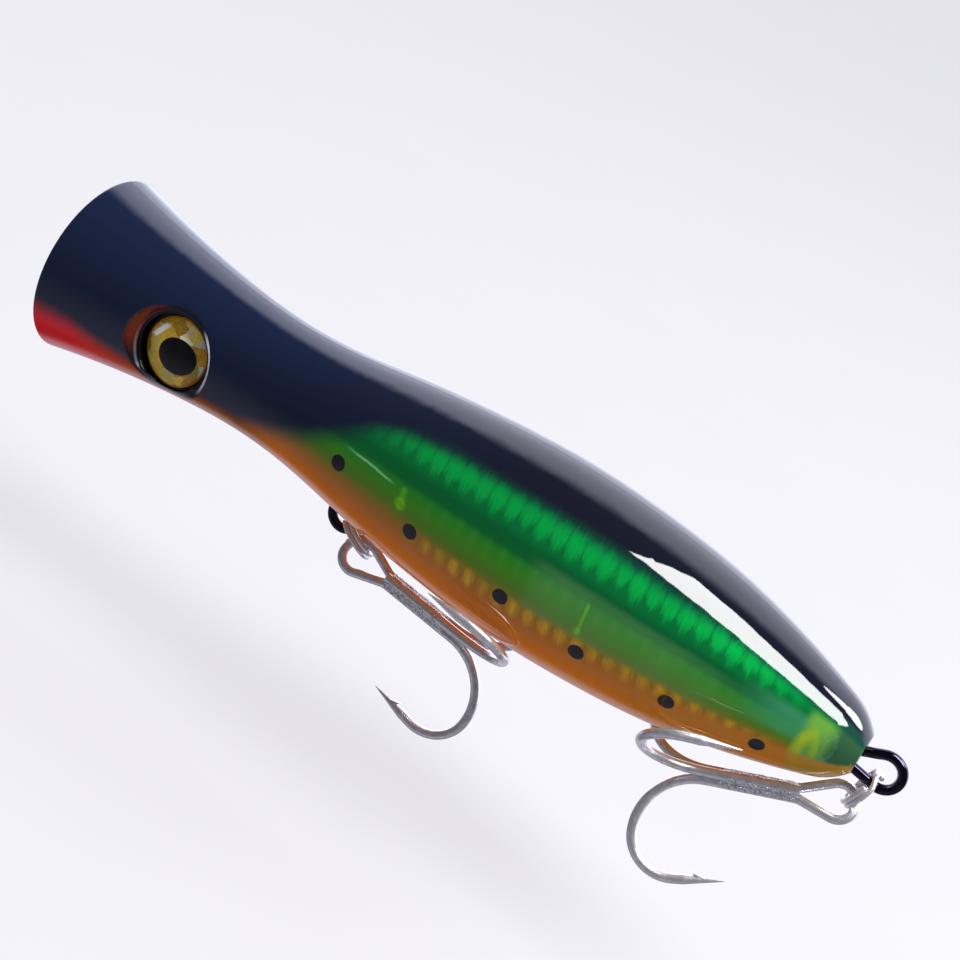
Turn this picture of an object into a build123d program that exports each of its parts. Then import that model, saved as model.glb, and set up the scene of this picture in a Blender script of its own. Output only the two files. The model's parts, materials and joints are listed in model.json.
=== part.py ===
from build123d import *
import math
import os

# Topwater popper, a floating fishing lure with a cupped mouth and two treble hooks.
# Millimetres. +X runs from the nose to the tail, +Z is the back, the left flank is -Y.
# The origin is the centre of the tow eye, the wire loop in the mouth.

os.makedirs("parts", exist_ok=True)

# ---- body ----
RIM_X = -1.0                 # plane of the mouth rim
TAIL_X = 159.0               # end of the body
WALL = 2.0                   # thickness of the moulded halves
# half-height of the body at these distances behind the rim
PROFILE = [(0.6, 17.0), (14, 14.2), (27, 12.3), (38, 11.4), (50, 11.75), (66, 14.05),
           (82, 15.95), (98, 16.9), (114, 16.3), (128, 14.7), (141, 11.85), (154.5, 7.6)]
TAIL_FACE_R = 3.6            # flat end of the tail
CUP_DEPTH = 12.0
CUP_EDGE_R = 16.0            # radius of the cup at the rim
CUP_WALL = 1.8
CAVITY_END_X = 149.0         # solid plastic behind this

# ---- wire frame ----
WIRE_D = 1.78
WIRE_CLEARANCE = 0.06        # gap between the wire and its channel
RUN_Z = 0.4                  # height of the straight run
LOOP_R = 2.95                # centreline radius of the tow eye and the tail eye
TAIL_EYE = (163.4, -0.55)    # x, z of its centre
BELLY_LOOP = (62.7, -14.7)   # x, z of its centre
BELLY_LOOP_R = 2.6

# ---- split rings ----
RING_WIRE_D = 0.95
RING_MEAN_R = 3.7
RING_COIL_STEP = 0.93        # distance between the two coils
RING_LINK_R = 0.9            # ring's wire from the centre of the loop that holds it
BELLY_RING_DOWN = 30.4       # degrees below the +X direction at rest
BELLY_RING_TILT = 19.3       # degrees about its own pulling direction
BELLY_HOLD = -44.1           # degrees round the ring from its far end to the treble
TAIL_RING_DOWN = 109.1
TAIL_RING_TILT = 2.1
TAIL_HOLD = -8.6

# ---- treble hooks ----
HOOK_WIRE_D = 1.7
HOOK_LENGTH = 34.8           # from the centre of the eye's wire to that of the bend's wire
HOOK_BUNDLE_R = 1.04         # shank centrelines from the treble's axis
BEND_OUTER_R = 10.6          # first quarter of the bend
BEND_INNER_R = 6.8           # rest of the bend
BEND_LEAN = 8.7              # degrees that the point leans in to the shank
POINT_LENGTH = 8.5
TAPER_LENGTH = 6.6
EYE_LENGTH = 9.2             # eye's straight sides meet the shank here
EYE_CORNER = 4.25
SHANK_START = EYE_LENGTH + 1.4
EYE_END_R = 2.85
BRAZE_START = 9.6
BRAZE_LENGTH = 12.0
BRAZE_R = 1.62

# ---- eyes ----
EYE_X, EYE_Z = 24.95, -2.1
EYE_D = 13.0
EYE_FLOOR_Y = 8.0            # floor of the socket from the middle plane
IRIS_T = 0.5
DOME_RISE = 2.0
SOCKET_D = 14.0
BROW_Y = 10.2                # ledge where the socket widens to its sloping wall
BROW_D = 15.2
BROW_SLOPE = 0.35
BOSS_D = 18.6                # plastic kept behind the socket

# ---- inside ----
RIB_T = 1.6
RIBS_X = [33.0, 53.5, 71.0, 109.5, 141.0]
POST_D = 6.0
PIN_D = 3.0
POSTS = [(33.0, -5.0), (71.0, -5.4), (109.5, -6.9), (141.0, -5.0)]   # x, z
FOIL_T = 0.3
FOIL_GAP = 0.1
FOIL_X = (43.0, 146.0)
FOIL_HALF_ANGLE = 70.0       # covered above and below the flank's middle
BALL_D = 7.0
BALL_COUNT = 3
RATTLE_X = (76.0, 105.0)
RATTLE_Z = -9.2
RATTLE_TUBE_T = 1.2
BALL_GAP = 0.05
RATTLE_TRAVEL = RATTLE_X[1] - RATTLE_X[0] - BALL_COUNT * (BALL_D + BALL_GAP) - 0.2
TAIL_WEIGHT = (115.0, 23.0, 9.2, -5.6)    # x start, length, diameter, z
KEEL_WEIGHT = (42.0, 9.0, 6.0, -5.8)
CRADLE_T = 1.0
CRADLE_GAP = 0.1


def body_profile(inset):
    """Half-height stations moved inwards by inset."""
    return [(RIM_X + x, r - inset) for x, r in PROFILE]


def axis_cylinder(radius, x0, length, z=0.0):
    """Cylinder along X from x0, centred at height z."""
    plane = Plane(origin=(x0, 0, z), x_dir=(0, 1, 0), z_dir=(1, 0, 0))
    return plane * Cylinder(radius, length, align=(Align.CENTER, Align.CENTER, Align.MIN))


def cross_cylinder(radius, x, z, y0, y1):
    """Cylinder along Y between y0 and y1."""
    plane = Plane(origin=(x, y0, z), x_dir=(1, 0, 0), z_dir=(0, 1, 0))
    return plane * Cylinder(radius, y1 - y0, align=(Align.CENTER, Align.CENTER, Align.MIN))


def revolved(edges):
    """Solid of revolution about X from a closed half profile in the XY plane."""
    return revolve(make_face(edges), axis=Axis.X)


# ------------------------------------------------------------------ body halves

CUP_RADIUS = (CUP_EDGE_R ** 2 + CUP_DEPTH ** 2) / (2 * CUP_DEPTH)
CUP_CENTRE_X = RIM_X + CUP_DEPTH - CUP_RADIUS


def outer_solid():
    """The body with its cup, as one solid of revolution."""
    pts = body_profile(0)
    flank = Spline(*pts)
    tail_arc = TangentArc(flank @ 1, (TAIL_X, TAIL_FACE_R), tangent=flank % 1)
    tail_face = Line((TAIL_X, TAIL_FACE_R), (TAIL_X, 0))
    axis_line = Line((TAIL_X, 0), (RIM_X + CUP_DEPTH, 0))
    half_way = math.atan2(CUP_EDGE_R, RIM_X - CUP_CENTRE_X) / 2
    cup_middle = (CUP_CENTRE_X + CUP_RADIUS * math.cos(half_way), CUP_RADIUS * math.sin(half_way))
    cup = ThreePointArc((RIM_X + CUP_DEPTH, 0), cup_middle, (RIM_X, CUP_EDGE_R))
    rim_face = Line((RIM_X, CUP_EDGE_R), (RIM_X, pts[0][1] - 0.55))
    rim_arc = TangentArc((RIM_X, pts[0][1] - 0.55), pts[0], tangent=(0, 1))
    return revolved([flank, tail_arc, tail_face, axis_line, cup, rim_face, rim_arc])


def cavity_solid(inset, x_start, x_end):
    """Space inside the wall and behind the cup, inset from the outer surface."""
    wall_line = Spline(*body_profile(inset))
    top = Line((RIM_X + PROFILE[0][0], 0), wall_line @ 0)
    end = Line(wall_line @ 1, ((wall_line @ 1).X, 0))
    base = Line(((wall_line @ 1).X, 0), (RIM_X + PROFILE[0][0], 0))
    space = make_face([top, wall_line, end, base])
    space -= Pos(CUP_CENTRE_X, 0) * Circle(CUP_RADIUS + CUP_WALL)
    space &= Pos((x_start + x_end) / 2, 0) * Rectangle(x_end - x_start, 100)
    return revolve(space, axis=Axis.X)


def foil_band(inset, thickness, x_start, x_end, half_angle):
    """Curved band inside the left flank, centred on the flank's middle."""
    shell = cavity_solid(inset, x_start, x_end) - cavity_solid(inset + thickness, x_start - 1, x_end + 1)
    reach = 40
    wedge = Polyline((0, 0), (-reach * math.cos(math.radians(half_angle)), reach),
                     (-reach, reach), (-reach, -reach),
                     (-reach * math.cos(math.radians(half_angle)), -reach), close=True)
    sector = extrude(Plane.YZ * make_face(wedge), amount=200)
    return shell & sector


def wire_path():
    """Centreline of the one wire that is both eyes, the belly loop and the run between them."""
    def on_circle(centre, radius, angle):
        a = math.radians(angle)
        return Vector(centre[0] + radius * math.cos(a), centre[1] + radius * math.sin(a))

    def along(centre, radius, angle, turn):
        a = math.radians(angle)
        return Vector(-math.sin(a), math.cos(a)) * turn

    tow = (0.0, 0.0)
    tow_low, tow_high = -80.0, 65.0
    tail_high, tail_low = 115.0, -100.0
    bend = 3.0

    start = on_circle(tow, LOOP_R, tow_low)
    away = along(tow, LOOP_R, tow_low, 1)
    inner_z = -2.1
    corner = start + away * ((inner_z - start.Y) / away.Y)
    leg_in = FilletPolyline(Vector(21.0, inner_z), corner, start, radius=bend)
    tow_arc = CenterArc(tow, LOOP_R, tow_low, -(360 - (tow_high - tow_low)))

    high = on_circle(tow, LOOP_R, tow_high)
    down = along(tow, LOOP_R, tow_high, -1)
    corner = high + down * ((RUN_Z - high.Y) / down.Y)
    left = BELLY_LOOP[0] - BELLY_LOOP_R
    right = BELLY_LOOP[0] + BELLY_LOOP_R
    front_run = FilletPolyline(high, corner, Vector(left, RUN_Z), Vector(left, BELLY_LOOP[1]),
                               radius=bend)
    belly_arc = CenterArc(BELLY_LOOP, BELLY_LOOP_R, 180, 180)

    high = on_circle(TAIL_EYE, LOOP_R, tail_high)
    back = along(TAIL_EYE, LOOP_R, tail_high, 1)
    corner = high + back * ((RUN_Z - high.Y) / back.Y)
    rear_run = FilletPolyline(Vector(right, BELLY_LOOP[1]), Vector(right, RUN_Z), corner, high,
                              radius=bend)
    tail_arc = CenterArc(TAIL_EYE, LOOP_R, tail_high, -(tail_high - tail_low))
    low = on_circle(TAIL_EYE, LOOP_R, tail_low)
    back = along(TAIL_EYE, LOOP_R, tail_low, -1)
    inner_z = -2.5
    corner = low + back * ((inner_z - low.Y) / back.Y)
    leg_out = FilletPolyline(low, corner, Vector(150.5, inner_z), radius=bend)
    pieces = [leg_in, tow_arc, front_run, belly_arc, rear_run, tail_arc, leg_out]
    edges = [edge for piece in pieces for edge in piece.edges()]
    return Plane.XZ * Wire(edges)


def swept(path, radius):
    section = Plane(origin=path @ 0, z_dir=path % 0) * Circle(radius)
    return sweep(section, path=path)


def through_wire(radius):
    return swept(wire_path(), radius)


def eye_socket(side):
    """Space cut for an eye; side is -1 for the left flank and 1 for the right."""
    reach = 20
    y0, y1 = sorted((side * EYE_FLOOR_Y, side * (BROW_Y + 0.5)))
    well = cross_cylinder(SOCKET_D / 2, EYE_X, EYE_Z, y0, y1)
    plane = Plane(origin=(EYE_X, side * BROW_Y, EYE_Z), x_dir=(1, 0, 0), z_dir=(0, side, 0))
    length = reach - BROW_Y
    brow = plane * Cone(BROW_D / 2, BROW_D / 2 + BROW_SLOPE * length, length,
                        align=(Align.CENTER, Align.CENTER, Align.MIN))
    return well + brow


def eye_boss(side):
    y0, y1 = sorted((side * (EYE_FLOOR_Y - 1.5), side * 14.0))
    return cross_cylinder(BOSS_D / 2, EYE_X, EYE_Z, y0, y1)


def body_halves():
    void = cavity_solid(WALL, RIM_X + 4, CAVITY_END_X)
    kept = [axis_cylinder(25, x - RIB_T / 2, RIB_T) for x in RIBS_X]
    kept += [cross_cylinder(POST_D / 2, x, z, -20, 20) for x, z in POSTS]
    kept += [eye_boss(side) for side in (-1, 1)]
    rattle_length = RATTLE_X[1] - RATTLE_X[0]
    rattle_r = BALL_D / 2 + 0.3
    kept += [axis_cylinder(rattle_r + RATTLE_TUBE_T, RATTLE_X[0] - RATTLE_TUBE_T,
                           rattle_length + 2 * RATTLE_TUBE_T, RATTLE_Z)]
    pockets = [axis_cylinder(rattle_r, RATTLE_X[0], rattle_length, RATTLE_Z)]
    for x0, length, diameter, z in (TAIL_WEIGHT, KEEL_WEIGHT):
        r = diameter / 2 + CRADLE_GAP
        kept += [axis_cylinder(r + CRADLE_T, x0 - CRADLE_T, length + 2 * CRADLE_T, z)]
        pockets += [axis_cylinder(r, x0 - CRADLE_GAP, length + 2 * CRADLE_GAP, z)]

    body = outer_solid() - (void - kept)
    for pocket in pockets:
        body -= pocket
    for side in (-1, 1):
        body -= eye_socket(side)
    slot = foil_band(WALL - 0.05, FOIL_T + 2 * FOIL_GAP + 0.05, FOIL_X[0] - 0.3, FOIL_X[1] + 0.3,
                     FOIL_HALF_ANGLE + 0.5)
    body -= slot
    body -= mirror(slot, about=Plane.XZ)
    body -= through_wire(WIRE_D / 2 + WIRE_CLEARANCE)

    left = body & (Pos(80, -25, 0) * Box(220, 50, 60))
    right = body & (Pos(80, 25, 0) * Box(220, 50, 60))
    for x, z in POSTS:
        left += cross_cylinder(PIN_D / 2, x, z, -1.0, 4.0)
        right -= cross_cylinder(PIN_D / 2 + 0.05, x, z, -1.0, 4.3)
    return left, right


# ------------------------------------------------------------------ hooks and rings

def ring_frame(loop_centre, down, tilt):
    """Centre, pulling direction and axis of a split ring hung in a loop in the middle plane."""
    a = math.radians(down)
    t = math.radians(tilt)
    pull = Vector(math.cos(a), 0, -math.sin(a))
    upright = Vector(math.sin(a), 0, math.cos(a))
    axis = upright * math.cos(t) + Vector(0, 1, 0) * math.sin(t)
    centre = Vector(loop_centre[0], 0, loop_centre[1]) + pull * (RING_LINK_R + RING_MEAN_R)
    return centre, pull, axis


def split_ring(loop_centre, down, tilt):
    centre, pull, axis = ring_frame(loop_centre, down, tilt)
    plane = Plane(origin=centre, x_dir=pull, z_dir=axis)
    coils = [Pos(0, 0, side * RING_COIL_STEP / 2) * Torus(RING_MEAN_R, RING_WIRE_D / 2)
             for side in (-1, 1)]
    return plane * (coils[0] + coils[1])


class TreblePose:
    """Where a treble lies at rest: the centre of its eye's wire and its directions."""

    def __init__(self, eye, azimuth, pitch, roll, turn):
        az, el = math.radians(azimuth), math.radians(pitch)
        self.eye = Vector(*eye)
        self.axis = Vector(math.cos(el) * math.cos(az), math.cos(el) * math.sin(az), math.sin(el))
        down = Vector(0, 0, -1)
        side = (down - self.axis * self.axis.dot(down)).normalized()
        self.first = side.rotate(Axis((0, 0, 0), self.axis), roll)
        self.turn = turn

    def lateral(self, index):
        return self.first.rotate(Axis((0, 0, 0), self.axis), self.turn * 120 * index)

    def plane(self, index):
        out = self.lateral(index)
        return Plane(origin=self.eye, x_dir=self.axis, z_dir=self.axis.cross(out))

    def eye_plane(self):
        """Plane of the eye, which the first and the last hook's wire share."""
        across = (self.lateral(2) - self.lateral(0)).normalized()
        middle = (self.lateral(2) + self.lateral(0)) * (HOOK_BUNDLE_R / 2)
        return Plane(origin=self.eye + middle, x_dir=self.axis, z_dir=self.axis.cross(across))

    def base_plane(self):
        return Plane(origin=self.eye, x_dir=self.lateral(0), z_dir=self.axis)


BELLY_TREBLE = TreblePose((66.56, -3.67, -17.82), 3.7, -8.0, -5.6, -1)
TAIL_TREBLE = TreblePose((162.33, -0.68, -7.52), 191.6, -19.2, 12.4, 1)


def treble_hinge(loop_centre, down, tilt, hold):
    """Point and direction of the ring's wire where a treble hangs and swings."""
    centre, pull, axis = ring_frame(loop_centre, down, tilt)
    out = pull.rotate(Axis((0, 0, 0), axis), hold)
    return centre + out * RING_MEAN_R, axis.cross(out)


def hook_path(shank_start):
    """Centreline of one hook up to its taper, in its own XY plane: X to the bend, Y outwards."""
    bend_x = HOOK_LENGTH - BEND_OUTER_R
    shank = Line((shank_start, HOOK_BUNDLE_R), (bend_x, HOOK_BUNDLE_R))
    outer = CenterArc((bend_x, HOOK_BUNDLE_R + BEND_OUTER_R), BEND_OUTER_R, -90, 90)
    inner = CenterArc((HOOK_LENGTH - BEND_INNER_R, HOOK_BUNDLE_R + BEND_OUTER_R), BEND_INNER_R,
                      0, 90 + BEND_LEAN)
    straight = Line(inner @ 1, inner @ 1 + (inner % 1) * (POINT_LENGTH - TAPER_LENGTH))
    return Wire([edge for part in (shank, outer, inner, straight) for edge in part.edges()])


def hook_point():
    """Tapered point and barb of one hook, in the same plane as its path."""
    path = hook_path(0)
    start, towards = path @ 1, path % 1
    cone = Plane(origin=start, z_dir=towards) * Cone(
        HOOK_WIRE_D / 2, 0.06, TAPER_LENGTH, align=(Align.CENTER, Align.CENTER, Align.MIN))
    inwards = Vector(-towards.Y, towards.X)
    foot = start + towards * 1.9
    outline = Polyline(foot + inwards * 0.1, foot + towards * 2.0 + inwards * 0.1,
                       foot - towards * 0.5 + inwards * 1.25, close=True)
    return cone + extrude(make_face(outline), amount=0.32, both=True)


def treble_eye_path():
    """Centreline of the eye in its own XY plane, between the starts of the two shanks."""
    half = HOOK_BUNDLE_R * math.sin(math.radians(60))
    outline = FilletPolyline((SHANK_START, -half), (EYE_LENGTH, -half), (0, -EYE_CORNER),
                             (0, EYE_CORNER), (EYE_LENGTH, half), (SHANK_START, half),
                             radius=[3.0, EYE_END_R, EYE_END_R, 3.0])
    return Wire(outline.edges())


def treble(pose):
    """The bent pair with the eye, the third hook, and the braze that joins them."""
    path = Wire([*(pose.plane(0) * hook_path(SHANK_START)).edges(),
                 *(pose.eye_plane() * treble_eye_path()).edges(),
                 *(pose.plane(2) * hook_path(SHANK_START)).edges()])
    pair = swept(path, HOOK_WIRE_D / 2)
    pair += pose.plane(0) * hook_point()
    pair += pose.plane(2) * hook_point()
    third = swept(pose.plane(1) * hook_path(BRAZE_START - 0.5), HOOK_WIRE_D / 2)
    third += pose.plane(1) * hook_point()
    sleeve = Pos(0, 0, BRAZE_START) * Cylinder(
        BRAZE_R, BRAZE_LENGTH, align=(Align.CENTER, Align.CENTER, Align.MIN))
    braze = pose.base_plane() * sleeve - [pair, third]
    return pair, third, braze


# ------------------------------------------------------------------ eyes and weights

def eye(side):
    """Printed iris disc and the clear dome over it."""
    y0 = EYE_FLOOR_Y + 0.02
    r = EYE_D / 2
    iris = cross_cylinder(r, EYE_X, EYE_Z, y0, y0 + IRIS_T)
    dome_r = (r * r + DOME_RISE * DOME_RISE) / (2 * DOME_RISE)
    top = y0 + IRIS_T + DOME_RISE
    ball = Pos(EYE_X, top - dome_r, EYE_Z) * Sphere(dome_r)
    dome = ball & cross_cylinder(r + 1, EYE_X, EYE_Z, y0 + IRIS_T, top + 1)
    if side > 0:
        return iris, dome
    return mirror(iris, about=Plane.XZ), mirror(dome, about=Plane.XZ)


def rattle_balls():
    first = RATTLE_X[0] + BALL_D / 2 + 0.1
    return Compound([Pos(first + i * (BALL_D + BALL_GAP), 0, RATTLE_Z - 0.1) * Sphere(BALL_D / 2)
                     for i in range(BALL_COUNT)])


def weight(x0, length, diameter, z):
    return axis_cylinder(diameter / 2, x0, length, z)


# ------------------------------------------------------------------ output

def build():
    nodes = {}
    nodes["left_shell"], nodes["right_shell"] = body_halves()
    foil = foil_band(WALL + FOIL_GAP, FOIL_T, *FOIL_X, FOIL_HALF_ANGLE)
    nodes["left_scale_foil"] = foil
    nodes["right_scale_foil"] = mirror(foil, about=Plane.XZ)
    nodes["through_wire"] = through_wire(WIRE_D / 2)
    nodes["left_eye_iris"], nodes["left_eye_dome"] = eye(-1)
    nodes["right_eye_iris"], nodes["right_eye_dome"] = eye(1)
    nodes["tail_weight"] = weight(*TAIL_WEIGHT)
    nodes["keel_weight"] = weight(*KEEL_WEIGHT)
    nodes["rattle_balls"] = rattle_balls()
    nodes["belly_split_ring"] = split_ring(BELLY_LOOP, BELLY_RING_DOWN, BELLY_RING_TILT)
    nodes["tail_split_ring"] = split_ring(TAIL_EYE, TAIL_RING_DOWN, TAIL_RING_TILT)
    for name, pose in (("belly", BELLY_TREBLE), ("tail", TAIL_TREBLE)):
        pair, third, braze = treble(pose)
        nodes[name + "_treble_pair"] = pair
        nodes[name + "_treble_third_hook"] = third
        nodes[name + "_treble_braze"] = braze
    return nodes


if __name__ == "__main__":
    for name, solid in build().items():
        export_step(solid, f"parts/{name}.step")
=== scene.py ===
import json
import math

import bmesh
import bpy
from mathutils import Matrix, Vector, noise


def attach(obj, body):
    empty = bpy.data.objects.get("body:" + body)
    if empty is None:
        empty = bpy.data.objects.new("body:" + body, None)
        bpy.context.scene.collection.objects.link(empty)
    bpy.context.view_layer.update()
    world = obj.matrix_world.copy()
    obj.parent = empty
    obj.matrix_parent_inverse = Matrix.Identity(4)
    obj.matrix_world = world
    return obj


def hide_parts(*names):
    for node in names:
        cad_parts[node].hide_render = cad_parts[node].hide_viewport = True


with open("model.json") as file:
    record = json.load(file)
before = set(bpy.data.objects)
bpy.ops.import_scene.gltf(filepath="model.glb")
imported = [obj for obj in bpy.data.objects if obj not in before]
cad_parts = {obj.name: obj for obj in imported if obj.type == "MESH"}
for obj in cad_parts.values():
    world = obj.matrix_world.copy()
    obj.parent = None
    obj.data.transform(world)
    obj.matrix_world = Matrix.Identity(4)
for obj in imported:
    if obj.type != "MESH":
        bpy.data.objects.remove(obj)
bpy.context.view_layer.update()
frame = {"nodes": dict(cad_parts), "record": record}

# Lengths are in millimetres in the shared frame unless a comment says metres. The origin is the
# tow eye's centre, x runs to the tail, z towards the back, and the left flank is towards -y.
MM = 0.001
scene = bpy.context.scene

EYE_X, EYE_Z = 24.95, -2.1
BAR_PITCH = 2.98             # spacing of the bars printed on the film

RING_R = 3.7                 # split ring, to the middle of its wire
RING_WIRE_R = 0.475
RING_STEP = 0.93             # from one turn to the next
LINK_R = 0.9                 # from the middle of the holding eye to the middle of the ring's wire

HOOK_BUNDLE_R = 1.04         # from a treble's axis to the middle of each shank
HOOK_WIRE_R = 0.85
BRAZE_START = 9.3            # from the middle of the treble's eye along the shank
BRAZE_LENGTH = 13.2

FLOOR_Z = -0.060             # metres; the belly treble hanging straight down reaches -0.0576

# ------------------------------------------------------------------ paint

PAINT_GAIN = 0.8             # share of a display colour that is the paint's own
# what an export that bakes nothing writes as the colour
PLAIN_GREY = (0.5, 0.5, 0.5, 1)   # the plain colour every material carries besides its nodes

NAVY_HEAD = (17, 26, 50)
NAVY_BACK = (15, 17, 30)
CUP_RED = (196, 6, 18)

# by angle from the middle of the flank, in degrees: 90 is the back and -90 the belly
FLANK_COLOURS = [
    (-90, (218, 116, 16)), (-42, (224, 122, 10)), (-32, (208, 112, 4)), (-22, (180, 100, 0)),
    (-14, (152, 106, 2)), (-9, (120, 116, 8)), (-5, (80, 122, 16)), (2, (62, 130, 26)),
    (10, (34, 122, 34)), (14, (6, 92, 40)), (20, (0, 86, 42)), (25, (0, 100, 46)),
    (36, (0, 98, 46)), (42, (4, 60, 42)), (90, (10, 50, 44))]

# red lip to brown throat, by x
THROAT_COLOURS = [
    (-2, (216, 6, 20)), (6, (220, 8, 20)), (12, (206, 46, 12)), (20, (178, 78, 12)),
    (34, (168, 88, 14)), (60, (160, 90, 14))]

# the angle where the navy begins and the half width of its soft edge, by x
NAVY_EDGE = [
    (-2, -22), (6, -25), (12, -32), (20, -38), (32, -38), (40, -36), (48, -20), (54, -7), (59, 9),
    (65, 28), (71, 39), (80, 44.5), (120, 47), (150, 49), (160, 52)]
NAVY_SOFTNESS = [(-2, 9), (46, 12), (58, 14), (70, 10), (88, 5), (160, 4.5)]

# the six dots: x, angle, and the body's radius there
DOTS = [(62.5, -4, 13.6), (79.5, -13, 15.7), (98.3, -13.5, 16.9), (113.3, -19, 16.3),
        (129.5, -20, 14.5), (144.8, -24, 10.9)]

# gold foil of the eye, dark to bright: the facets' painted shade and painted highlight
GOLD_SHADED_TO_LIT = [(0, (112, 80, 14)), (0.22, (176, 130, 34)), (0.5, (238, 196, 66)),
        (0.7, (255, 232, 112)), (0.85, (255, 252, 214)), (1, (255, 255, 250))]


# ------------------------------------------------------------------ colour and node helpers

def lin(rgb, gain=1.0):
    """Linear colour from 0-255 display values."""
    out = []
    for value in rgb:
        c = value / 255
        out.append(gain * (c / 12.92 if c <= 0.04045 else ((c + 0.055) / 1.055) ** 2.4))
    return (*out, 1.0)


class Val:
    """A number in a node tree that can be used in plain arithmetic."""

    def __init__(self, tree, out):
        self.tree = tree
        self.out = out

    def op(self, name, *others):
        node = self.tree.nodes.new("ShaderNodeMath")
        node.operation = name
        for i, value in enumerate((self, *others)):
            if isinstance(value, Val):
                self.tree.links.new(value.out, node.inputs[i])
            else:
                node.inputs[i].default_value = value
        return Val(self.tree, node.outputs[0])

    def __add__(self, other): return self.op("ADD", other)
    def __sub__(self, other): return self.op("SUBTRACT", other)
    def __mul__(self, other): return self.op("MULTIPLY", other)
    def __truediv__(self, other): return self.op("DIVIDE", other)
    __radd__ = __add__
    __rmul__ = __mul__

    def capped(self): return self.op("MINIMUM", 1.0)
    def positive(self): return self.op("MAXIMUM", 0.0)
    def away_from(self, value): return (self - value).op("ABSOLUTE")
    def inverse(self): return self * -1.0 + 1.0

    def smooth(self, low, high):
        """0 at low, 1 at high, eased."""
        node = self.tree.nodes.new("ShaderNodeMapRange")
        node.interpolation_type = "SMOOTHSTEP"
        self.tree.links.new(self.out, node.inputs[0])
        node.inputs[1].default_value = low
        node.inputs[2].default_value = high
        return Val(self.tree, node.outputs[0])

    def between(self, rise_from, rise_to, fall_from, fall_to):
        """1 between the two slopes and 0 outside them."""
        return self.smooth(rise_from, rise_to) * self.smooth(fall_to, fall_from)

    def ramp(self, low, high, stops):
        """Colour by value: stops are (value, display colour)."""
        node = self.tree.nodes.new("ShaderNodeValToRGB")
        ramp = node.color_ramp
        while len(ramp.elements) < len(stops):
            ramp.elements.new(0.5)
        for element, (value, rgb) in zip(ramp.elements, stops):
            element.position = (value - low) / (high - low)
            element.color = lin(rgb, PAINT_GAIN)
        factor = (self - low) / (high - low)
        self.tree.links.new(factor.out, node.inputs[0])
        return node.outputs[0]

    def curve(self, low, high, points):
        """A number by value: points are (value, result), with straight runs between them."""
        node = self.tree.nodes.new("ShaderNodeFloatCurve")
        results = [p[1] for p in points]
        r_low, r_high = min(results), max(results)
        line = node.mapping.curves[0]
        while len(line.points) < len(points):
            line.points.new(0.5, 0.5)
        for point, (value, result) in zip(line.points, points):
            point.location = ((value - low) / (high - low), (result - r_low) / (r_high - r_low))
            point.handle_type = "VECTOR"
        node.mapping.update()
        factor = (self - low) / (high - low)
        self.tree.links.new(factor.out, node.inputs[1])
        return Val(self.tree, node.outputs[0]) * (r_high - r_low) + r_low


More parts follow.
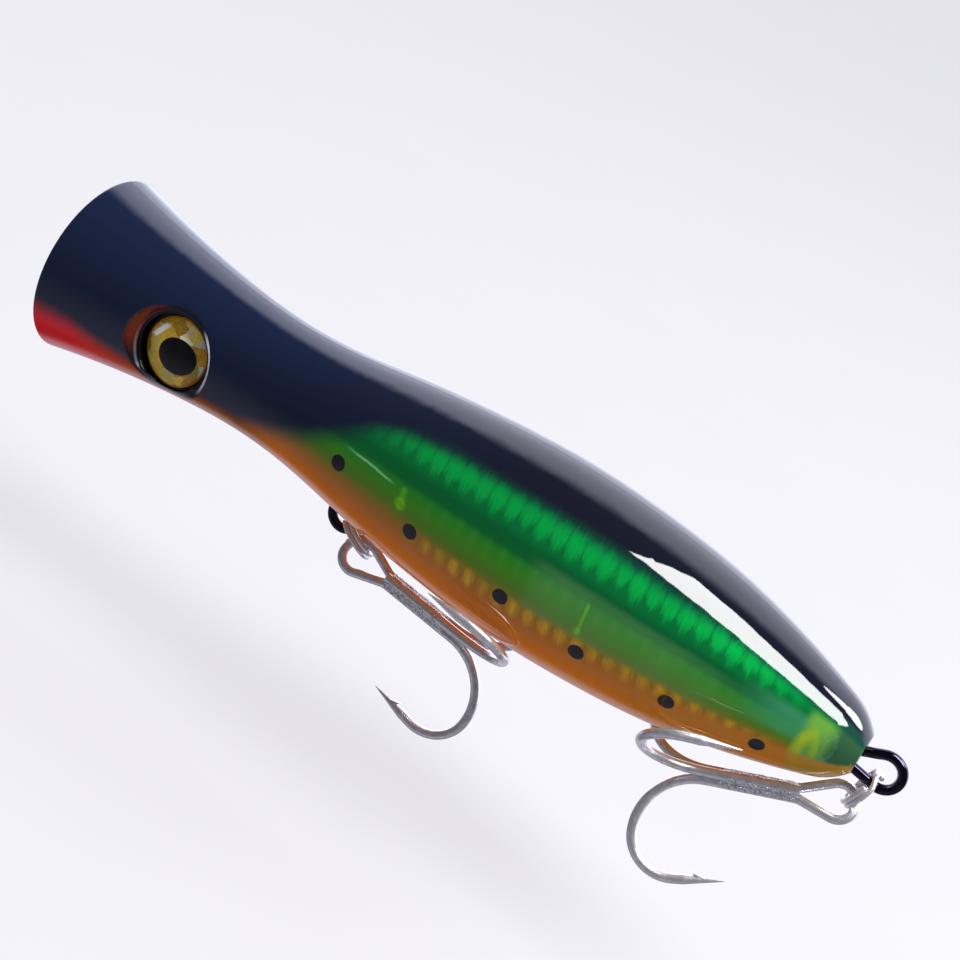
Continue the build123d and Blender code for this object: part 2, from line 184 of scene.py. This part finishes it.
class Material:
    """A node material with one Principled shader; plain holds its uniform values."""

    def __init__(self, name, gain=1.0, **plain):
        self.gain = gain
        self.material = bpy.data.materials.new(name)
        self.material.use_nodes = True
        self.tree = self.material.node_tree
        self.shader = self.tree.nodes["Principled BSDF"]
        self.material.diffuse_color = PLAIN_GREY
        for key, value in plain.items():
            self.shader.inputs[key.replace("_", " ")].default_value = value

    def node(self, kind, **settings):
        node = self.tree.nodes.new(kind)
        for key, value in settings.items():
            setattr(node, key, value)
        return node

    def position(self):
        """Object position in millimetres, as a vector and as three numbers."""
        coord = self.node("ShaderNodeTexCoord").outputs["Object"]
        scale = self.node("ShaderNodeVectorMath", operation="SCALE")
        self.tree.links.new(coord, scale.inputs[0])
        scale.inputs["Scale"].default_value = 1 / MM
        split = self.node("ShaderNodeSeparateXYZ")
        self.tree.links.new(scale.outputs[0], split.inputs[0])
        return scale.outputs[0], [Val(self.tree, split.outputs[i]) for i in range(3)]

    def combine(self, x, y, z):
        node = self.node("ShaderNodeCombineXYZ")
        for i, value in enumerate((x, y, z)):
            if isinstance(value, Val):
                self.tree.links.new(value.out, node.inputs[i])
            else:
                node.inputs[i].default_value = value
        return node.outputs[0]

    def distance(self, vector, point):
        node = self.node("ShaderNodeVectorMath", operation="DISTANCE")
        self.tree.links.new(vector, node.inputs[0])
        node.inputs[1].default_value = point
        return Val(self.tree, node.outputs["Value"])

    def noise(self, vector, scale, detail=2.0, roughness=0.5):
        node = self.node("ShaderNodeTexNoise")
        self.tree.links.new(vector, node.inputs["Vector"])
        node.inputs["Scale"].default_value = scale
        node.inputs["Detail"].default_value = detail
        node.inputs["Roughness"].default_value = roughness
        return Val(self.tree, node.outputs["Fac"])

    def mix(self, factor, a, b):
        """Colour a where factor is 0, b where it is 1; colours are sockets or display values."""
        node = self.node("ShaderNodeMix", data_type="RGBA")
        self.tree.links.new(factor.out, node.inputs[0])
        for index, value in ((6, a), (7, b)):
            if isinstance(value, tuple):
                node.inputs[index].default_value = lin(value, self.gain)
            else:
                self.tree.links.new(value, node.inputs[index])
        return node.outputs[2]

    def set(self, key, value):
        out = value.out if isinstance(value, Val) else value
        self.tree.links.new(out, self.shader.inputs[key])

    def bump(self, height, strength, distance, coat=False, edge=0.0):
        """Fine relief; edge also rounds sharp edges in the shading, but not the parting line."""
        node = self.node("ShaderNodeBump")
        if edge:
            bevel = self.node("ShaderNodeBevel", samples=6)
            bevel.inputs["Radius"].default_value = edge * MM
            off_seam = self.node("ShaderNodeMix", data_type="VECTOR")
            from_seam = self.position()[1][1].op("ABSOLUTE")
            normal = self.node("ShaderNodeNewGeometry").outputs["Normal"]
            self.tree.links.new(from_seam.smooth(0.8, 1.6).out, off_seam.inputs[0])
            self.tree.links.new(normal, off_seam.inputs[4])
            self.tree.links.new(bevel.outputs[0], off_seam.inputs[5])
            self.tree.links.new(off_seam.outputs[1], node.inputs["Normal"])
        node.inputs["Strength"].default_value = strength
        node.inputs["Distance"].default_value = distance * MM
        self.tree.links.new(height.out, node.inputs["Height"])
        target = "Coat Normal" if coat else "Normal"
        self.tree.links.new(node.outputs[0], self.shader.inputs[target])


# ------------------------------------------------------------------ painted shells

def painted_shell():
    """Clear-coated body: navy back, green flanks over the film, amber belly, red lip."""
    m = Material("painted_shell", PAINT_GAIN, Roughness=0.35, Coat_Weight=1.0,
                 Coat_Roughness=0.012, Coat_IOR=1.52, Specular_IOR_Level=0.0)
    pos, (x, y, z) = m.position()
    side = y.op("ABSOLUTE")
    angle = z.op("ARCTAN2", side) * (180 / math.pi)
    cloud = m.noise(pos, 0.11, 3.0) - 0.5
    grain = m.noise(pos, 1.7, 2.0) - 0.5
    phi = angle + cloud * 3.0 + grain * 1.2
    colour = phi.ramp(-90, 90, FLANK_COLOURS)

    # fibres of the film under the clear wall
    streak = m.noise(m.combine(x * 1.5 + phi * 0.05, phi * 0.05, 0.0), 1.0, 4.0, 0.65)
    fibre = m.noise(m.combine(x * 2.6 + phi * 0.09, phi * 0.10, 0.0), 1.0, 3.0, 0.65) - 0.5
    ragged = (streak - 0.5) * 9.0 + fibre * 7.0

    def bars(first_x, lean, angle_from, angle_to, narrow, wide):
        """Bars that widen between two angles, and a chance number that differs from bar to bar."""
        count = (x + phi * lean - first_x) / BAR_PITCH
        chance = m.node("ShaderNodeTexWhiteNoise", noise_dimensions="1D")
        m.tree.links.new(count.op("FLOOR").out, chance.inputs["W"])
        luck = Val(m.tree, chance.outputs["Value"])
        from_middle = count.op("FRACT").away_from(0.5) * 2.0
        width = (phi + luck * 3.0).smooth(angle_from, angle_to) * (wide - narrow) + narrow
        return (width - from_middle + fibre * 1.7).smooth(-0.45, 0.65), luck

    # bright bars high on the flank, amber ones below it, faint ones between
    tooth, luck = bars(first_x=59.9, lean=0.033, angle_from=20.0, angle_to=38.0,
                       narrow=-0.35, wide=1.1)
    row = (phi + ragged).between(20.0, 33.0, 33.0, 46.0) * x.between(58.0, 84.0, 138.0, 151.0)
    upper = tooth * row * (luck * 0.35 + streak * 1.4 + fibre * 0.8 + 0.1).capped().positive()
    colour = m.mix(upper, colour, (0, 170, 70))

    tooth, luck = bars(first_x=81.3, lean=0.02, angle_from=-24.0, angle_to=-12.0,
                       narrow=0.25, wide=0.6)
    row = (phi + ragged * 0.35).between(-24.0, -17.0, -13.0, -8.0)
    row = row * x.between(76.0, 88.0, 138.0, 150.0)
    lower = tooth * row * (luck * 0.5 + streak * 0.9 + 0.05).capped()
    colour = m.mix(lower, colour, (226, 170, 14))

    tooth, _ = bars(first_x=82.6, lean=0.02, angle_from=0.0, angle_to=14.0,
                    narrow=0.2, wide=0.45)
    row = phi.between(-4.0, 4.0, 10.0, 15.0) * x.between(74.0, 86.0, 140.0, 150.0)
    colour = m.mix(tooth * row * 0.22, colour, (74, 150, 60))

    # tail end: thick clear plastic over the end of the cavity, with two arcs and a dark tip
    teal = x.smooth(136.0, 147.0) * phi.between(-6.0, 4.0, 20.0, 30.0)
    colour = m.mix(teal * 0.6, colour, (64, 146, 104))
    colour = m.mix(x.smooth(148.6, 150.6) * phi.smooth(40.0, 28.0), colour, (96, 154, 58))
    bow = (phi + 12.0).op("POWER", 2.0) * 0.0012
    uneven = cloud * 1.2 + fibre * 0.9
    first = (x - bow + uneven).away_from(150.2).smooth(1.5, 0.1)
    second = (x + bow + uneven).away_from(152.6).smooth(1.0, 0.1)
    arcs = first * phi.between(-46.0, -24.0, 2.0, 26.0) \
        + second * phi.between(-20.0, -8.0, 0.0, 26.0) * 0.6
    colour = m.mix((arcs * (streak * 0.7 + 0.4)).capped(), colour, (168, 186, 24))
    tip = x.smooth(152.8, 155.5) * phi.smooth(-30.0, -8.0)
    colour = m.mix(tip * 0.85, colour, (22, 62, 54))
    oval = ((x - 154.4).op("POWER", 2.0) * 6.0 + (phi - 6.0).op("POWER", 2.0) * 0.012).op("SQRT")
    crescent = (oval + cloud * 1.5).away_from(1.9).smooth(0.8, 0.05)
    crescent = crescent * (grain * 2.5 + 0.4).positive()
    colour = m.mix((crescent * 0.45).capped(), colour, (84, 170, 140))

    # airbrushed navy, lowest on the head and rising to the back
    back = (phi + ragged * 0.25 - x.curve(-2, 160, NAVY_EDGE)) / x.curve(-2, 160, NAVY_SOFTNESS)
    dark = back.smooth(-1.0, 1.0)
    throat = x.smooth(52.0, 40.0) * phi.smooth(-6.0, -24.0)
    colour = m.mix(throat, colour, x.ramp(-2, 60, THROAT_COLOURS))
    colour = m.mix(dark, colour, m.mix(x.smooth(40.0, 100.0), NAVY_HEAD, NAVY_BACK))
    belly_gold = x.smooth(104.0, 140.0) * phi.smooth(-12.0, -20.0)
    colour = m.mix(belly_gold * 0.75, colour, (194, 120, 4))

    # painted light: glints of the inside posts, a streak of highlight and a milky patch of
    # reflection
    def upright_glint(centre_x, lean, half_width, low_phi, high_phi):
        away = (x + phi * lean + cloud * 0.6).away_from(centre_x)
        return away.smooth(half_width, half_width * 0.25) \
            * phi.between(low_phi - 1.5, low_phi, high_phi, high_phi + 3)

    post_glints = upright_glint(75.9, 0.03, 0.9, -4.5, 8.0) * (streak * 0.6) \
        + upright_glint(112.0, 0.02, 0.42, -7.0, 10.0) * (streak + 0.1)
    for ring_x, ring_phi, size in ((75.9, -1.0, 1.5), (112.0, -6.0, 0.9)):
        along, around = x - ring_x, (phi - ring_phi) * 0.27
        reach = (along * along + around * around).op("SQRT") + grain * 0.9
        post_glints = post_glints + reach.away_from(size * 0.45).smooth(size * 0.6, 0.0) * (grain * 1.4 + 0.5)
    colour = m.mix((post_glints * 0.8).capped(), colour, (118, 206, 20))
    # a painted streak of highlight across the flank
    streak_highlight = (phi + (x - 67.5) * 0.28 + cloud * 1.5).away_from(9.2).smooth(1.3, 0.2)
    colour = m.mix(streak_highlight * x.between(62.0, 66.0, 71.0, 74.0) * 0.8, colour, (128, 196, 150))
    # a painted soft, milky reflection
    milky_reflection = x.between(99.0, 104.0, 128.0, 143.0) * phi.between(-13.0, -9.0, 15.0, 21.0)
    colour = m.mix(milky_reflection * (cloud + 0.55) * 0.45, colour, (104, 156, 96))

    # six black dots
    point = m.combine(x, side, z)
    dots = None
    for dot_x, dot_phi, body_r in DOTS:
        a = math.radians(dot_phi)
        centre = (dot_x, body_r * math.cos(a), body_r * math.sin(a))
        here = m.distance(point, centre).smooth(1.55, 1.3)
        dots = here if dots is None else dots.op("MAXIMUM", here)
    colour = m.mix(dots, colour, (16, 15, 24))

    # eye socket: a dark hollow that shows dark red towards the mouth, with a painted highlight on
    # two of its edges
    from_eye = m.distance(m.combine(x, z, 0.0), (EYE_X, EYE_Z, 0.0))
    on_flank = side.smooth(7.0, 7.6)
    brow = from_eye.smooth(8.9, 8.2) * on_flank
    front = x.smooth(22.5, 17.6) * z.smooth(-6.5, -1.5) * from_eye.smooth(7.3, 7.6)
    colour = m.mix(brow, colour, (13, 13, 22))
    colour = m.mix(brow * front * (grain * 0.8 + 0.75).capped(), colour, (118, 34, 18))
    colour = m.mix(from_eye.smooth(7.5, 7.2) * on_flank, colour, (9, 8, 12))
    # painted highlights: a pale line on the socket's outer lip towards the tail, and a fainter one
    # on the ledge inside it, low towards the mouth
    lip = from_eye.away_from(8.15).smooth(0.26, 0.12)
    lip = lip * x.smooth(EYE_X + 4.0, EYE_X + 6.5) * z.smooth(EYE_Z - 5.0, EYE_Z - 1.5)
    ledge_highlight = from_eye.away_from(7.62).smooth(0.2, 0.08)
    ledge_highlight = ledge_highlight * x.smooth(EYE_X - 1.0, EYE_X - 4.5) * z.smooth(EYE_Z + 4.0, EYE_Z - 3.0)
    colour = m.mix((lip * 0.8 + ledge_highlight * 0.15) * on_flank, colour, (205, 208, 226))

    # inside of the mouth cup: navy above, red below
    off_axis = (y * y + z * z).op("SQRT")
    cup = (off_axis + x * 0.45).smooth(16.2, 15.6)
    colour = m.mix(cup, colour, m.mix(z.smooth(-7.0, -1.0), CUP_RED, NAVY_HEAD))

    m.set("Base Color", colour)
    m.set("Metallic", (upper * 0.4 + lower * 0.3 + 0.04) * (dots.inverse() * dark.inverse()))
    ripple = m.noise(pos, 0.22, 0.0) * (cup * -0.85 + 1.0)
    m.bump(ripple, 0.25, 0.12, coat=True, edge=0.5)
    return m.material


# ------------------------------------------------------------------ metal, eyes and film

def metal(name, rgb, roughness, dirt=0.25, relief=0.02, patches=0.12, metallic=1.0, lacquer=0.0):
    """Plated wire: slightly uneven shine and a fine drawn texture."""
    m = Material(name, Metallic=metallic, Coat_Weight=lacquer, Coat_Roughness=0.06)
    pos, _ = m.position()
    big = m.noise(pos, 0.9, 3.0)
    fine = m.noise(pos, 9.0, 2.0)
    dark = tuple(int(c * (1 - dirt)) for c in rgb)
    m.set("Base Color", m.mix(big.smooth(0.2, 0.8), dark, rgb))
    m.set("Roughness", big * patches + fine * 0.04 + roughness)
    m.bump(fine, 0.5, relief)
    return m.material


def solder():
    """Tin run over the shanks, granular, with small bright faces."""
    m = Material("braze_tin", Metallic=0.75)
    pos, _ = m.position()
    grit = m.noise(pos, 2.6, 3.0, 0.7)
    cells = m.node("ShaderNodeTexVoronoi", feature="F1")
    m.tree.links.new(pos, cells.inputs["Vector"])
    cells.inputs["Scale"].default_value = 2.3
    shape = Val(m.tree, cells.outputs["Distance"])
    m.set("Base Color", m.mix(grit.smooth(0.3, 0.62), (138, 139, 150), (244, 243, 248)))
    m.set("Roughness", shape * 0.25 + 0.16)
    m.bump(grit + shape * 0.7, 1.0, 0.22)
    return m.material


def gold_eye(name, **plain):
    """Gold foil in flat facets round a black pupil that sits a little towards the tail."""
    m = Material(name, Specular_IOR_Level=0.0, **plain)
    pos, (x, y, z) = m.position()
    across, above = x - EYE_X, z - EYE_Z
    radius = m.distance(m.combine(across, above, 0.0), (0, 0, 0))
    pupil = m.distance(m.combine((across - 0.95) / 3.75, (above + 0.2) / 3.25, 0.0), (0, 0, 0))

    warp = m.noise(pos, 0.5, 1.0)
    cells = m.node("ShaderNodeTexVoronoi", feature="F1", voronoi_dimensions="2D",
                   distance="MANHATTAN")
    m.tree.links.new(m.combine(across + warp * 2.0, z + warp, 0.0), cells.inputs["Vector"])
    cells.inputs["Scale"].default_value = 0.40
    split = m.node("ShaderNodeSeparateColor")
    m.tree.links.new(cells.outputs["Color"], split.inputs[0])
    shade, tint, lean = (Val(m.tree, split.outputs[i]) for i in range(3))
    # each facet's gold is painted darker or lighter as if it caught the light its own way
    gold = (shade * 0.8 + m.noise(pos, 3.0, 2.0) * 0.5 - 0.1).ramp(0, 1, GOLD_SHADED_TO_LIT)
    gold = m.mix(tint.smooth(0.7, 1.0) * 0.6, gold, (124, 132, 52))

    # a window's glint on the dome, then the brown edge and black rim of the print
    glint = (across + 4.1 - (above - 2.3) * 0.62).op("ABSOLUTE").smooth(0.85, 0.35)
    gold = m.mix(glint * above.away_from(2.3).smooth(1.9, 1.2), gold, (255, 255, 250))
    gold = m.mix(radius.smooth(5.75, 6.2), gold, (168, 96, 20))
    gold = m.mix(radius.smooth(6.25, 6.38), gold, (12, 9, 10))
    m.set("Base Color", m.mix(pupil.smooth(1.03, 0.98), gold, (7, 7, 12)))
    m.set("Metallic", pupil.smooth(0.98, 1.03) * radius.smooth(6.25, 6.0) * 0.35)
    m.set("Roughness", shade * 0.2 + 0.2)

    # every facet faces its own way
    facing = m.combine((lean - 0.5) * 0.9, y.op("SIGN"), (shade - 0.5) * 0.9)
    unit = m.node("ShaderNodeVectorMath", operation="NORMALIZE")
    m.tree.links.new(facing, unit.inputs[0])
    m.set("Normal", unit.outputs[0])
    return m.material


def film():
    """Green film with darker bars; the shells hide it."""
    m = Material("scale_foil", Metallic=0.7, Roughness=0.3)
    _, (x, _, _) = m.position()
    bar = (x / BAR_PITCH).op("FRACT").away_from(0.5)
    m.set("Base Color", m.mix(bar.smooth(0.1, 0.35), (40, 190, 90), (8, 90, 44)))
    return m.material


MATERIALS = {
    "painted_shell": painted_shell(),
    "scale_foil": film(),
    "dark_wire": metal("dark_wire", (62, 60, 78), 0.08, dirt=0.2, relief=0.004, patches=0.06),
    "ring_steel": metal("ring_steel", (240, 236, 240), 0.2, dirt=0.08, relief=0.003,
                        patches=0.06, metallic=0.75, lacquer=0.4),
    "tinned_hook": metal("tinned_hook", (248, 245, 250), 0.19, dirt=0.12, relief=0.003,
                         patches=0.08, metallic=0.82, lacquer=0.35),
    "braze_tin": solder(),
    "gold_iris": gold_eye("gold_iris"),
    "clear_dome": gold_eye("clear_dome", Coat_Weight=1.0, Coat_Roughness=0.01, Coat_IOR=1.5),
    "plain_steel": metal("plain_steel", (150, 150, 152), 0.3),
    "ball_steel": metal("ball_steel", (190, 190, 194), 0.12),
}
slots = {s["node"]: s["material_slot"] for s in frame["record"]["subparts"]}
for name, obj in frame["nodes"].items():
    obj.data.materials.clear()
    obj.data.materials.append(MATERIALS[slots[name]])


# ------------------------------------------------------------------ split rings and braze

def closed_mesh(name, rings):
    """Smooth object through rings of points, in metres, with a flat cap at each end."""
    bm = bmesh.new()
    rows = [[bm.verts.new(point) for point in ring] for ring in rings]
    for a, b in zip(rows, rows[1:]):
        for k in range(len(a)):
            n = (k + 1) % len(a)
            bm.faces.new((a[k], a[n], b[n], b[k]))
    bm.faces.new(list(reversed(rows[0])))
    bm.faces.new(rows[-1])
    bmesh.ops.recalc_face_normals(bm, faces=bm.faces)
    mesh = bpy.data.meshes.new(name)
    bm.to_mesh(mesh)
    bm.free()
    mesh.shade_smooth()
    obj = bpy.data.objects.new(name, mesh)
    scene.collection.objects.link(obj)
    return obj


def tube(name, path, radius, sides=14):
    """Round tube along a list of points, with slightly rounded ends; metres."""
    end_share = 0.82
    rings = []
    normal = None
    last = len(path) - 1
    for i, point in enumerate(path):
        ahead = (path[min(i + 1, last)] - path[max(i - 1, 0)]).normalized()
        if normal is None:
            normal = ahead.orthogonal().normalized()
        normal = (normal - ahead * normal.dot(ahead)).normalized()
        across = ahead.cross(normal)
        r = radius * (end_share if i in (0, last) else 1.0)
        rings.append([point + (normal * math.cos(a) + across * math.sin(a)) * r
                      for a in (2 * math.pi * k / sides for k in range(sides))])
    return closed_mesh(name, rings)


def split_ring(name, loop, down, tilt, turned, body, node):
    """Two turns of wire that cross over once; loop is the x and z of the eye that holds it."""
    a, t = math.radians(down), math.radians(tilt)
    pull = Vector((math.cos(a), 0, -math.sin(a)))
    axis = Vector((math.sin(a), 0, math.cos(a))) * math.cos(t) + Vector((0, 1, 0)) * math.sin(t)
    side = axis.cross(pull)
    centre = Vector((loop[0], 0, loop[1])) + pull * (LINK_R + RING_R)
    cross = math.radians(24)       # half the arc over which the wire steps across
    end_gap = 0.05                 # radians left open at each end of the wire
    steps = 220
    path = []
    for i in range(steps + 1):
        angle = cross + end_gap + (4 * math.pi - 2 * cross - 2 * end_gap) * i / steps
        s = min(max((angle - 2 * math.pi + cross) / (2 * cross), 0.0), 1.0)
        level = (s * s * (3 - 2 * s) - 0.5) * RING_STEP
        around = angle + math.radians(turned)
        path.append((centre + pull * RING_R * math.cos(around) + side * RING_R * math.sin(around)
                     + axis * level) * MM)
    obj = tube(name, path, RING_WIRE_R * MM)
    obj.data.materials.append(MATERIALS["ring_steel"])
    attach(obj, body)
    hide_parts(node)


def braze_skin(name, eye, azimuth, pitch, roll, turn, body, node):
    """Grainy tin over the three shanks, from the eye's neck down, with ragged ends."""
    az, el = math.radians(azimuth), math.radians(pitch)
    axis = Vector((math.cos(el) * math.cos(az), math.cos(el) * math.sin(az), math.sin(el)))
    fall = Vector((0, 0, -1))
    first = Matrix.Rotation(math.radians(roll), 3, axis) \
        @ (fall - axis * axis.dot(fall)).normalized()
    second = axis.cross(first)
    shanks = [turn * 2 * math.pi * k / 3 for k in range(3)]
    sides, rows = 72, 150
    rings = []
    for i in range(rows + 1):
        t = i / rows
        ring = []
        for k in range(sides):
            angle = 2 * math.pi * k / sides
            # a skin stretched over the three wires, drawn in a little where it lies on one
            over_wires = HOOK_WIRE_R + max(HOOK_BUNDLE_R * math.cos(angle - s) for s in shanks)
            on_wire = math.cos(3 * angle) * 0.5 + 0.5
            seed = Vector((math.cos(angle) * 1.6, math.sin(angle) * 1.6,
                           t * BRAZE_LENGTH * 1.1 + eye[0]))
            grain = noise.noise(seed * 2.6) * 0.07 + noise.noise(seed * 0.9) * 0.06
            fade = min(t / 0.05, (1 - t) / 0.16, 1.0)
            ragged_end = (1 - fade) * (0.35 + 0.25 * noise.noise(seed * 1.3))
            radius = over_wires * (0.985 - 0.02 * on_wire) - 0.05 + grain * 0.8 - ragged_end
            outwards = first * math.cos(angle) + second * math.sin(angle)
            along = axis * (BRAZE_START + BRAZE_LENGTH * t)
            ring.append((Vector(eye) + along + outwards * radius) * MM)
        rings.append(ring)
    obj = closed_mesh(name, rings)
    obj.data.materials.append(MATERIALS["braze_tin"])
    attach(obj, body)
    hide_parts(node)


split_ring("belly_ring_coils", (62.7, -14.7), 30.4, 19.3, 150, "belly_ring", "belly_split_ring")
split_ring("tail_ring_coils", (163.4, -0.55), 109.1, 2.1, 215, "tail_ring", "tail_split_ring")
braze_skin("belly_braze_skin", (66.56, -3.67, -17.82), 3.7, -8.0, -5.6, -1,
           "belly_treble", "belly_treble_braze")
braze_skin("tail_braze_skin", (162.33, -0.68, -7.52), 191.6, -19.2, 12.4, 1,
           "tail_treble", "tail_treble_braze")


# ------------------------------------------------------------------ floor, light, camera; metres

def pale_floor():
    """Wide pale sheet, lit evenly, that the clear coat doesn't mirror."""
    bm = bmesh.new()
    bmesh.ops.create_grid(bm, x_segments=1, y_segments=1, size=8.0)
    mesh = bpy.data.meshes.new("floor")
    bm.to_mesh(mesh)
    bm.free()
    floor = bpy.data.objects.new("floor", mesh)
    floor.location = (0.08, 0.0, FLOOR_Z)
    scene.collection.objects.link(floor)
    m = Material("floor", Roughness=0.7, Specular_IOR_Level=0.1,
                 Emission_Color=(0.97, 0.96, 1.0, 1))
    looked_at = Val(m.tree, m.node("ShaderNodeLightPath").outputs["Is Camera Ray"])
    m.set("Emission Strength", looked_at * 0.06 + 0.58)
    pos, _ = m.position()
    m.set("Base Color", m.mix(m.noise(pos, 0.02, 2.0), (92, 91, 94), (96, 95, 98)))
    floor.data.materials.append(m.material)
    floor.visible_glossy = False


def area_light(name, shape, size, power, location, rotation):
    """Soft lamp; power in watts."""
    data = bpy.data.lights.new(name, "AREA")
    data.shape = shape
    data.size, data.size_y = size
    data.energy = power
    obj = bpy.data.objects.new(name, data)
    obj.location = location
    obj.rotation_euler = rotation
    scene.collection.objects.link(obj)


def studio_world():
    """Bright wall behind the lure for the coat to mirror, dark in front; plain paper to the eye."""
    world = bpy.data.worlds.new("studio")
    world.use_nodes = True
    tree = world.node_tree
    sky = tree.nodes["Background"]
    sky.inputs["Color"].default_value = (0.83, 0.84, 1.0, 1)
    toward = tree.nodes.new("ShaderNodeSeparateXYZ")
    tree.links.new(tree.nodes.new("ShaderNodeTexCoord").outputs["Generated"], toward.inputs[0])
    behind, upward = Val(tree, toward.outputs[1]), Val(tree, toward.outputs[2])
    wall = behind.smooth(0.22, 0.50) * (upward.smooth(-0.50, 0.0) * 1.55 + 0.5)
    below = upward.smooth(-0.15, -0.85) * behind.smooth(0.1, -0.3) * 0.25
    tree.links.new((wall + below + 0.10).out, sky.inputs["Strength"])
    paper = tree.nodes.new("ShaderNodeBackground")
    paper.inputs["Color"].default_value = (0.95, 0.95, 0.97, 1)
    paper.inputs["Strength"].default_value = 0.8
    choose = tree.nodes.new("ShaderNodeMixShader")
    seen = tree.nodes.new("ShaderNodeLightPath")
    tree.links.new(seen.outputs["Is Camera Ray"], choose.inputs[0])
    tree.links.new(sky.outputs[0], choose.inputs[1])
    tree.links.new(paper.outputs[0], choose.inputs[2])
    tree.links.new(choose.outputs[0], tree.nodes["World Output"].inputs["Surface"])
    return world


pale_floor()
area_light("key", "RECTANGLE", (1.15, 0.42), 30, (0.67, -0.24, 1.0), (0, 0, math.radians(-17)))
to_key_low = Vector((0.66, 0.33, 0.70)).normalized()
area_light("key_low", "ELLIPSE", (0.36, 0.72), 12, Vector((0.1, 0.0, 0.0)) + to_key_low * 1.2,
           to_key_low.to_track_quat("Z", "Y").to_euler())
scene.world = studio_world()
scene.view_settings.view_transform = "Standard"

camera_data = bpy.data.cameras.new("camera")
camera_data.sensor_width = 36.0
camera_data.angle = math.radians(28.0)
camera_data.clip_start = 0.01
camera = bpy.data.objects.new("camera", camera_data)
right = Vector((0.81440, 0.40942, 0.41126))
up = Vector((-0.51852, 0.19516, 0.83250))
back = Vector((0.26058, -0.89123, 0.37123))
turn = Matrix((right, up, back)).transposed().to_4x4()
camera.matrix_world = Matrix.Translation((0.16668, -0.29007, 0.12535)) @ turn
scene.collection.objects.link(camera)
scene.camera = camera
